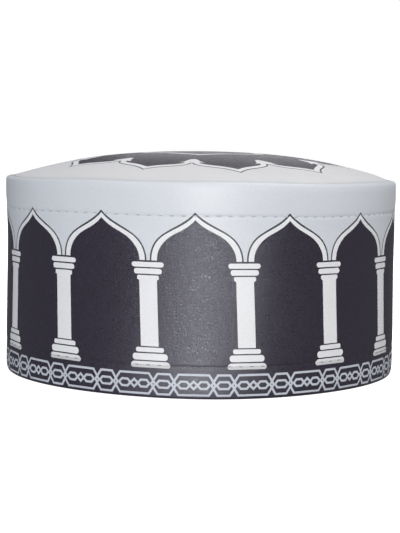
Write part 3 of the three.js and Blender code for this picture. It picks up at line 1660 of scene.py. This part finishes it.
    def add_rings(
        self,
        piece: ClothPiece,
        points: Points,
        normals: Points,
        faces: Points,
        flat: Points,
        path: Points,
        lengths: Points,
        ring: Points,
    ) -> None:
        """Adds the rings of the rolled top, the inside and the hem, inked and laid on the bake map.

        Args:
            piece: The piece that they are added to.
            points: Their points, ring after ring.
            normals: The surface's direction at each point.
            faces: Three point numbers for each triangle.
            flat: The run and the path length of each point.
            path: How far out and how high each ring is.
            lengths: The path's length at each ring.
            ring: The ring where each triangle starts.
        """
        # The first rings lie below the top as well, but on the outer face
        below = np.flatnonzero(path[:, 1] < self.inside_top)
        inner_start = int(below[below > len(path) // 8][0])
        inner_end = int(np.flatnonzero(path[:, 1] < self.resting)[0])
        inks = []
        for number in ring:
            height = (path[number, 1] + path[number + 1, 1]) / 2
            if number < inner_start:
                inks.append(Ink.PALE)
            elif number >= inner_end or height < self.hem_top:
                inks.append(Ink.CHARCOAL)
            elif height > self.doubled_from:
                inks.append(Ink.PALE)
            else:
                inks.append(Ink.BACKING)
        on_top = ring < inner_start
        at_hem = ring >= inner_end
        inside = ~on_top & ~at_hem
        bake = np.empty((len(faces), 3, 2))
        for part, offset, level, scale in (
            (on_top, self.wall_high + self.map_ground, 0, 1),
            (at_hem, self.wall_low + self.map_ground - lengths[-1], 0, 1),
            (inside, -lengths[inner_start], 2 * (self.map_strip + self.map_room), 0.5),
        ):
            shifted = flat + (0, offset)
            bake[part] = self.chart(shifted, faces[part], level, scale).reshape(-1, 3, 2)
        columns = len(points) // len(path)
        # Painted shade under the crown seam on the rolled top; the inside keeps its colour
        kept = np.where(np.arange(len(path)) <= inner_start, self.shade(path[:, 1]), 1.0)
        piece.add_patch(points, normals, faces, inks, flat, kept[faces // columns], bake.reshape(-1, 2))

    def build(self, wardrobe: Wardrobe) -> bpy.types.Object:
        """Builds the side band.

        Args:
            wardrobe: The cloth materials.

        Returns:
            The finished piece.
        """
        piece = ClothPiece("printed_side_band")
        self.outer_face(piece)
        self.edges_and_inside(piece)
        made = piece.build(wardrobe)
        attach(made, ROOT)
        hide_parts("side_band")
        return made


@dataclass
class Crown:
    """The domed crown: an oval of cloth with its edge turned down inside the band."""

    form: CapForm
    band: SideBand
    rosette: Rosette = field(default_factory=Rosette)
    top_share: float = 0.985
    cloth: float = 2.0
    lip: float = 1.2
    lip_bottom: float = 80.5
    lip_middle: float = 89.0
    lip_bevel: float = 0.4
    # Shares of the way to the edge where the underside has its rings
    underside_shares: tuple[float, ...] = (0.94, 0.85, 0.72, 0.58, 0.43, 0.28, 0.13)
    # How far apart the top's fill points are, about how far it reaches, and the fewest in a ring
    ring_step: float = 2.6
    reach: float = 92.0
    fewest: int = 8
    edge_room: float = 0.003
    # How far apart the points are that give the top its direction
    slope_step: float = 0.2
    # The bake map in millimetres: its side, the room round a patch, the top's middle, the lip's size and
    # height, and the underside's size and middle
    map_mm: float = 262.0
    map_room: float = 2.0
    map_top: tuple[float, float] = (98.0, 86.0)
    lip_size: tuple[float, float] = (0.45, 1.0)
    lip_level: float = 172.0
    underside_size: float = 0.4
    map_underside: tuple[float, float] = (40.0, 225.0)
    # Painted shade of the seam's shadow: how much of its colour the top keeps at a share of the way to its
    # edge, and at the turned edge's rings
    painted_shades: tuple[tuple[float, float], ...] = ((0.95, 1.0), (0.97, 0.99), (0.985, 0.96))
    painted_edge_shades: tuple[float, ...] = (0.97, 0.9, 0.78, 0.72)

    def dome(self, plan: Points) -> Points:
        """Points of the crown's top over some points of its plan."""
        return np.concatenate([plan, self.form.dome_height(plan)[..., None]], axis=-1)

    def top(self, piece: ClothPiece) -> None:
        """Adds the printed top.

        Args:
            piece: The piece that it is added to.
        """
        columns = self.band.columns()
        edge = self.form.rim_plan(self.top_share, columns)
        rings = round(self.reach / self.ring_step)
        fill = [np.zeros((1, 2))]
        for ring in range(1, rings):
            share = self.top_share * ring / rings
            count = max(self.fewest, round(self.form.girth * share / self.ring_step))
            # Every other ring is half a step on
            run = (np.arange(count) + 0.5 * (ring % 2)) / count * self.form.girth - self.form.girth / 2
            fill.append(self.form.rim_plan(share, run))
        cut = cut_cloth(
            np.concatenate(fill),
            [edge],
            self.rosette.shapes(),
            lambda flat: [Ink.CROWN] * len(flat),
            lambda flat: self.form.share_of(flat)[0] < self.top_share + self.edge_room,
        )
        points = self.dome(cut.points)
        height, step = self.form.dome_height, self.slope_step
        slopes = [
            (height(cut.points + move) - height(cut.points - move)) / (2 * step)
            for move in ((step, 0), (0, step))
        ]
        normals = np.column_stack([-slopes[0], -slopes[1], np.ones(len(points))])
        normals /= np.linalg.norm(normals, axis=1, keepdims=True)
        corners = cut.points[cut.faces].reshape(-1, 2)
        bake = (corners + self.map_top + np.array(self.map_room)) / self.map_mm
        # Painted shade towards the edge, where the seam shades the top
        shares, kept = np.array(self.painted_shades).T
        shade = np.interp(self.form.share_of(cut.points)[0], shares, kept)[cut.faces]
        piece.add_patch(points, normals, cut.faces, cut.inks, cut.points, shade, bake)

    def edge_and_underside(self, piece: ClothPiece) -> None:
        """Adds the turned edge, the lip inside the band and the underside.

        Args:
            piece: The piece that they are added to.
        """
        form, columns = self.form, self.band.columns()
        # Each ring of the lip: its height, and how far in from the crown's edge
        lip_rows = [
            (form.seam_height - 0.02, 0.25),
            (form.seam_height - 0.3, 0.05),
            (form.seam_height - 1.5, 0.0),
            (self.lip_middle, 0.0),
            (self.lip_bottom + self.lip_bevel, 0.0),
            (self.lip_bottom, self.lip_bevel),
            (self.lip_bottom, self.lip - self.lip_bevel),
            (self.lip_bottom + self.lip_bevel, self.lip),
            (self.lip_middle, self.lip),
            (form.seam_height - 3, self.lip),
        ]
        rings = [self.dome(form.rim_plan(self.top_share, columns))]
        for up, inset in lip_rows:
            out = np.full(len(columns), form.crown_edge - inset)
            rings.append(form.on_wall(columns, np.full(len(columns), up), out))
        for share in self.underside_shares:
            rings.append(self.dome(form.rim_plan(share, columns)) - (0, 0, self.cloth))
        grid = np.array(rings)
        rows = len(grid)
        faces = ring_faces(rows, len(columns))[:, ::-1]
        run = np.broadcast_to(columns, grid.shape[:2])
        lengths = path_lengths(grid[:, len(columns) // 2])
        flat = np.stack([run, np.repeat(lengths[:, None], len(columns), axis=1)], axis=-1).reshape(-1, 2)
        middle = np.array([[0, 0, form.seam_height + form.crown_rise - self.cloth]])
        points = np.concatenate([grid.reshape(-1, 3), middle])
        last = (rows - 1) * len(columns) + np.arange(len(columns) - 1)
        fan = np.column_stack([last + 1, last, np.full(len(last), rows * len(columns))])
        normals = np.concatenate([self.ring_normals(grid).reshape(-1, 3), [[0, 0, -1]]])
        flat = np.concatenate([flat, [[0, lengths[-1]]]])
        faces = np.concatenate([faces, fan])
        row = np.minimum(faces, rows * len(columns) - 1).min(axis=1) // len(columns)
        edge_rings = len(self.painted_edge_shades)
        inks = [Ink.CROWN if number < edge_rings else Ink.BACKING for number in row]
        # Painted shadow of the seam on the turned edge's rings
        kept = np.ones(rows + 1)
        kept[:edge_rings] = self.painted_edge_shades
        shade = kept[faces // len(columns)]
        under = row >= len(lip_rows)
        bake = np.empty((len(faces), 3, 2))
        lip_place = (form.girth / 2 * self.lip_size[0], self.lip_level)
        bake[~under] = flat[faces[~under]] * self.lip_size + lip_place
        bake[under] = points[faces[under]][:, :, :2] * self.underside_size + self.map_underside
        bake = (bake.reshape(-1, 2) + self.map_room) / self.map_mm
        piece.add_patch(points, normals, faces, inks, flat, shade, bake)

    @staticmethod
    def ring_normals(grid: Points) -> Points:
        """The directions out of a surface of rings.

        Args:
            grid: Each ring's points, in an order that has the outside on the left.

        Returns:
            The direction at each point.
        """
        along = np.gradient(grid, axis=0)
        closed = np.concatenate([grid[:, -2:-1], grid, grid[:, 1:2]], axis=1)
        across = closed[:, 2:] - closed[:, :-2]
        normals = np.cross(along, across)
        return normals / np.maximum(np.linalg.norm(normals, axis=2, keepdims=True), TINY)

    def build(self, wardrobe: Wardrobe) -> bpy.types.Object:
        """Builds the crown.

        Args:
            wardrobe: The cloth materials.

        Returns:
            The finished piece.
        """
        piece = ClothPiece("domed_crown")
        self.top(piece)
        self.edge_and_underside(piece)
        made = piece.build(wardrobe)
        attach(made, ROOT)
        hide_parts("crown")
        return made


@dataclass
class StitchRow:
    """A sewn line round the cap: a thread whose running stitches show on both faces of the cloth."""

    name: str
    band: SideBand
    up: float
    inner_out: float
    finish: ThreadFinish
    slot: str
    length: float
    thickness: float
    pitch: float = 5.2
    seed: int = 11
    line_points: int = 360
    # How deep a stitch's ends dive, in thicknesses, how many straight pieces it has, and how many sides
    dive: float = 0.6
    bends: int = 6
    sides: int = 6
    # How far a stitch may slant, in radians, and its least and its greatest size against an even one
    slant: float = 0.05
    least: tuple[float, float, float] = (0.86, 0.95, 0.95)
    greatest: tuple[float, float, float] = (1.08, 1.05, 1.05)

    def seam(self) -> bpy.types.Object:
        """The lines that the thread keeps to, one on each face of the cloth.

        Returns:
            An object that isn't in the scene yet, with the way out of the cloth at each of its points.
        """
        form = self.band.form
        runs = np.linspace(-form.girth / 2, form.girth / 2, self.line_points + 1)[:-1]
        height = np.full(len(runs), self.up)
        outer = form.on_wall(runs, height, self.band.wall_out(height) - form.closing(runs, height))
        inner = form.on_wall(runs, height, np.full(len(runs), self.inner_out))
        outward = np.pad(form.oval(form.turn_at(runs))[1], ((0, 0), (0, 1)))
        count = len(runs)
        edges = [(first + k, first + (k + 1) % count) for first in (0, count) for k in range(count)]
        mesh = bpy.data.meshes.new(self.name)
        mesh.from_pydata((np.concatenate([outer, inner]) * MM).tolist(), edges, [])
        facing = mesh.attributes.new("facing", "FLOAT_VECTOR", "POINT")
        facing.data.foreach_set("vector", np.concatenate([outward, -outward]).ravel())
        return bpy.data.objects.new(self.name, mesh)

    def one_stitch(
        self, tree: bpy.types.NodeTree, length: bpy.types.NodeSocket, thickness: bpy.types.NodeSocket
    ) -> bpy.types.NodeSocket:
        """Adds the nodes of one stitch along X: a short round thread whose ends dive into the cloth.

        Args:
            tree: The node tree.
            length: Gives the stitch's length.
            thickness: Gives the thread's thickness.

        Returns:
            Gives the stitch's mesh.
        """
        back, ahead, sunk, radius = (
            add_node(tree, "ShaderNodeMath", {0: size, 1: factor}, operation="MULTIPLY").outputs[0]
            for size, factor in (
                (length, -0.5),
                (length, 0.5),
                (thickness, -self.dive),
                (thickness, 0.5),
            )
        )
        line = add_node(
            tree,
            "GeometryNodeCurveQuadraticBezier",
            {
                "Resolution": self.bends,
                "Start": add_node(tree, "ShaderNodeCombineXYZ", {"X": back, "Z": sunk}).outputs[0],
                "Middle": add_node(tree, "ShaderNodeCombineXYZ", {"Z": thickness}).outputs[0],
                "End": add_node(tree, "ShaderNodeCombineXYZ", {"X": ahead, "Z": sunk}).outputs[0],
            },
        )
        ring = add_node(
            tree, "GeometryNodeCurvePrimitiveCircle", {"Resolution": self.sides, "Radius": radius}
        )
        return add_node(
            tree,
            "GeometryNodeCurveToMesh",
            {
                "Curve": line.outputs["Curve"],
                "Profile Curve": ring.outputs["Curve"],
                "Fill Caps": True,
            },
        ).outputs["Mesh"]

    def tree(self) -> bpy.types.NodeTree:
        """Makes the node tree that lays separate stitches along the lines.

        Returns:
            The tree, with a named input for each size.
        """
        tree = bpy.data.node_groups.new(f"{self.name}_nodes", "GeometryNodeTree")
        for name, kind in (
            ("Geometry", "NodeSocketGeometry"),
            ("Pitch", "NodeSocketFloat"),
            ("Length", "NodeSocketFloat"),
            ("Thickness", "NodeSocketFloat"),
            ("Seed", "NodeSocketInt"),
            ("Thread", "NodeSocketMaterial"),
        ):
            tree.interface.new_socket(name, in_out="INPUT", socket_type=kind)
        tree.interface.new_socket("Geometry", in_out="OUTPUT", socket_type="NodeSocketGeometry")
        given = add_node(tree, "NodeGroupInput").outputs
        line = add_node(tree, "GeometryNodeMeshToCurve", {"Mesh": given["Geometry"]}).outputs["Curve"]
        places = add_node(
            tree, "GeometryNodeResampleCurve", {"Curve": line, "Length": given["Pitch"]}, mode="LENGTH"
        ).outputs["Curve"]
        facing = add_node(
            tree, "GeometryNodeInputNamedAttribute", {"Name": "facing"}, data_type="FLOAT_VECTOR"
        )
        tangent = add_node(tree, "GeometryNodeInputTangent").outputs["Tangent"]
        along = add_node(tree, "FunctionNodeAlignRotationToVector", {"Vector": tangent}, axis="X")
        upright = add_node(
            tree,
            "FunctionNodeAlignRotationToVector",
            {"Rotation": along.outputs["Rotation"], "Vector": facing.outputs["Attribute"]},
            axis="Z",
            pivot_axis="X",
        )
        angle = add_node(
            tree,
            "FunctionNodeRandomValue",
            {2: -self.slant, 3: self.slant, "Seed": given["Seed"]},
            data_type="FLOAT",
        ).outputs[1]
        slant = add_node(tree, "FunctionNodeAxisAngleToRotation", {"Axis": (0, 0, 1), "Angle": angle})
        turned = add_node(
            tree,
            "FunctionNodeRotateRotation",
            {"Rotation": upright.outputs["Rotation"], "Rotate By": slant.outputs["Rotation"]},
            rotation_space="LOCAL",
        )
        size = add_node(
            tree,
            "FunctionNodeRandomValue",
            {0: self.least, 1: self.greatest, "Seed": given["Seed"]},
            data_type="FLOAT_VECTOR",
        ).outputs[0]
        stitches = add_node(
            tree,
            "GeometryNodeInstanceOnPoints",
            {
                "Points": places,
                "Instance": self.one_stitch(tree, given["Length"], given["Thickness"]),
                "Rotation": turned.outputs["Rotation"],
                "Scale": size,
            },
        )
        plain = add_node(
            tree, "GeometryNodeRealizeInstances", {"Geometry": stitches.outputs["Instances"]}
        )
        sewn = add_node(
            tree,
            "GeometryNodeSetMaterial",
            {"Geometry": plain.outputs["Geometry"], "Material": given["Thread"]},
        )
        add_node(tree, "NodeGroupOutput", {"Geometry": sewn.outputs["Geometry"]})
        return tree

    def build(self) -> bpy.types.Object:
        """Builds the row of stitches.

        Returns:
            The finished piece, a plain mesh.
        """
        row, tree = self.seam(), self.tree()
        modifier = row.modifiers.new("stitches", "NODES")
        modifier.node_group = tree
        sizes = {
            "Pitch": self.pitch * MM,
            "Length": self.length * MM,
            "Thickness": self.thickness * MM,
            "Seed": self.seed,
            "Thread": self.finish.material(),
        }
        for socket in tree.interface.items_tree:
            if socket.in_out == "INPUT" and socket.name in sizes:
                modifier[socket.identifier] = sizes[socket.name]
        bpy.context.scene.collection.objects.link(row)
        seen = row.evaluated_get(bpy.context.evaluated_depsgraph_get())
        sewn = bpy.data.meshes.new_from_object(seen)
        row.modifiers.clear()
        row.data = sewn
        row.data.shade_smooth()
        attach(row, ROOT)
        LOG.info("%s: %d faces", row.name, len(sewn.polygons))
        return row


@dataclass(frozen=True)
class Lamp:
    """A soft rectangular light that the camera doesn't see. Its sizes are metres and its power is watts."""

    name: str
    place: tuple[float, float, float]
    width: float
    height: float
    watts: float
    code: str = "ffffff"
    aim: tuple[float, float, float] = (0, 0, 0.05)
    beam: Beam = Beam.BOTH

    def build(self) -> bpy.types.Object:
        """Adds the light to the scene.

        Returns:
            Its object.
        """
        data = bpy.data.lights.new(self.name, "AREA")
        data.shape = "RECTANGLE"
        data.size, data.size_y = self.width, self.height
        data.energy = self.watts
        data.color = colour(self.code)[:3]
        lamp = bpy.data.objects.new(self.name, data)
        lamp.location = self.place
        lamp.rotation_mode = "QUATERNION"
        lamp.rotation_quaternion = (Vector(self.aim) - Vector(self.place)).to_track_quat("-Z", "Y")
        lamp.visible_camera = False
        lamp.visible_diffuse, lamp.visible_glossy = self.beam.value
        bpy.context.scene.collection.objects.link(lamp)
        return lamp


@dataclass(frozen=True)
class Studio:
    """The camera at the photograph's angle, the pale floor and the soft lights."""

    # The camera as it was fitted to the photograph: its place in millimetres, and the way that it looks
    camera_place: tuple[float, float, float] = (-79.56, -647.94, 117.90)
    camera_looks: tuple[float, float, float] = (0.12125, 0.98747, -0.10106)
    focal_px: float = 1296.13
    principal_x: float = 201.44
    principal_y: float = 265.78
    roll_degrees: float = 1.186
    # In metres: the nearest and the furthest that it sees, and half the floor's side
    nearest: float = 0.02
    furthest: float = 40.0
    floor_half: float = 8.0
    glow: float = 0.18
    # The light that makes the wall shine in front, kept off the crown
    front_shine: Lamp = Lamp(
        "front_shine", (-0.08, -1.4, 0.1), width=0.17, height=0.42, watts=15.4, beam=Beam.SHINE
    )
    front_softbox: Lamp = Lamp(
        "front_softbox", (-0.085, -1.4, 0.1), width=0.22, height=0.42, watts=17.4, beam=Beam.SHADING
    )
    other_lamps: tuple[Lamp, ...] = (
        Lamp(
            "overhead_softbox", (0.4, 0.0, 1.6), width=1.1, height=1.1, watts=17.2, code="fffefe"
        ),
        Lamp(
            "back_softbox", (0.0, 1.6, 0.42), width=1.8, height=0.8, watts=4.5, beam=Beam.SHADING
        ),
        Lamp("back_shine", (0.28, 1.6, 0.42), width=0.56, height=0.8, watts=1.55, beam=Beam.SHINE),
        # Low, so that it reaches the wall and not the crown
        Lamp(
            "left_fill",
            (-1.2, -0.1, 0.1),
            width=0.9,
            height=0.18,
            watts=2.4,
            code="e6f0ff",
            beam=Beam.SHADING,
        ),
        # The front light's glint on the table, which lights the foot of the wall
        Lamp(
            "table_glint",
            (-0.035, -0.19, 0.002),
            width=0.1,
            height=0.17,
            watts=0.09,
            aim=(-0.035, -0.12, 0.2),
            beam=Beam.SHINE,
        ),
    )

    def camera(self) -> None:
        """Adds the camera, aimed through the photograph's principal point, so that it needs no shift."""
        looks = Vector(self.camera_looks).normalized()
        level = looks.cross(Vector((0, 0, 1))).normalized()
        above = level.cross(looks)
        roll = math.radians(self.roll_degrees)
        right = math.cos(roll) * level + math.sin(roll) * above
        top = math.cos(roll) * above - math.sin(roll) * level
        aside = (IMAGE_WIDTH / 2 - self.principal_x) / self.focal_px
        below = (IMAGE_HEIGHT / 2 - self.principal_y) / self.focal_px
        looks = (looks + aside * right - below * top).normalized()
        right = looks.cross(top).normalized()
        top = right.cross(looks)
        data = bpy.data.cameras.new("camera")
        data.sensor_width = SENSOR_MM
        data.lens = self.focal_px * SENSOR_MM / IMAGE_HEIGHT
        data.clip_start, data.clip_end = self.nearest, self.furthest
        camera = bpy.data.objects.new("camera", data)
        camera.matrix_world = Matrix.Translation(Vector(self.camera_place) * MM) @ Matrix(
            [right, top, -looks]
        ).transposed().to_4x4()
        bpy.context.scene.collection.objects.link(camera)
        bpy.context.scene.camera = camera

    def keep_off(self, lamp: bpy.types.Object, piece: bpy.types.Object) -> None:
        """Keeps a light off a piece, as a black card beside the lamp would.

        Args:
            lamp: The light.
            piece: The piece.
        """
        shaded = bpy.data.collections.new(f"{lamp.name}_shaded")
        shaded.objects.link(piece)
        shaded.collection_objects[0].light_linking.link_state = "EXCLUDE"
        lamp.light_linking.receiver_collection = shaded

    def floor(self) -> None:
        """Adds the pale floor: matt card, so bright that it runs into the white around it."""
        mesh = bpy.data.meshes.new("floor")
        half = self.floor_half
        corners = [(-half, -half, 0), (half, -half, 0), (half, half, 0), (-half, half, 0)]
        mesh.from_pydata(corners, [], [(0, 1, 2, 3)])
        material = bpy.data.materials.new("matt_card")
        material.use_nodes = True
        tree = material.node_tree
        tree.nodes.clear()
        card = add_node(
            tree,
            "ShaderNodeBsdfPrincipled",
            {
                "Base Color": colour("f2f2f2"),
                "Roughness": 0.95,
                "Specular IOR Level": 0.1,
                "Emission Color": (1, 1, 1, 1),
                "Emission Strength": 0.9,
            },
        )
        add_node(tree, "ShaderNodeOutputMaterial", {"Surface": card.outputs["BSDF"]})
        mesh.materials.append(material)
        floor = bpy.data.objects.new("floor", mesh)
        bpy.context.scene.collection.objects.link(floor)
        floor.visible_diffuse = False
        floor.visible_glossy = False

    def build(self) -> bpy.types.Object:
        """Sets up the whole studio.

        Returns:
            The light that makes the wall shine in front.
        """
        self.camera()
        self.floor()
        scene = bpy.context.scene
        scene.view_settings.view_transform = "Standard"
        world = bpy.data.worlds.new("studio")
        world.use_nodes = True
        tree = world.node_tree
        tree.nodes.clear()
        seen = add_node(tree, "ShaderNodeLightPath").outputs["Is Camera Ray"]
        glow = add_node(
            tree, "ShaderNodeBackground", {"Color": colour("f4f6fa"), "Strength": self.glow}
        )
        white = add_node(tree, "ShaderNodeBackground", {"Color": (1, 1, 1, 1), "Strength": 1.0})
        both = add_node(
            tree, "ShaderNodeMixShader", {0: seen, 1: glow.outputs[0], 2: white.outputs[0]}
        )
        add_node(tree, "ShaderNodeOutputWorld", {"Surface": both.outputs[0]})
        scene.world = world
        self.front_softbox.build()
        shine = self.front_shine.build()
        for lamp in self.other_lamps:
            lamp.build()
        return shine


def main() -> None:
    """Builds the cap in order and reports each piece."""
    logging.basicConfig(level=logging.INFO, format="%(name)s: %(message)s")
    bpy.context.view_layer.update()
    studio = Studio()
    shine = studio.build()
    form = CapForm()
    wardrobe = Wardrobe()
    band = SideBand(form)
    crown = Crown(form, band)
    band.build(wardrobe)
    studio.keep_off(shine, crown.build(wardrobe))
    StitchRow(
        "upper_stitches",
        band,
        up=band.upper_stitches,
        inner_out=form.crown_edge - crown.lip,
        finish=PALE_THREAD,
        slot="pale_cloth",
        length=2.5,
        thickness=0.6,
    ).build()
    StitchRow(
        "lower_stitches",
        band,
        up=band.lower_stitches,
        inner_out=band.hem_face,
        finish=CHARCOAL_THREAD,
        slot="printed_cloth",
        length=2.2,
        thickness=0.28,
    ).build()


if __name__ == "__main__":
    main()
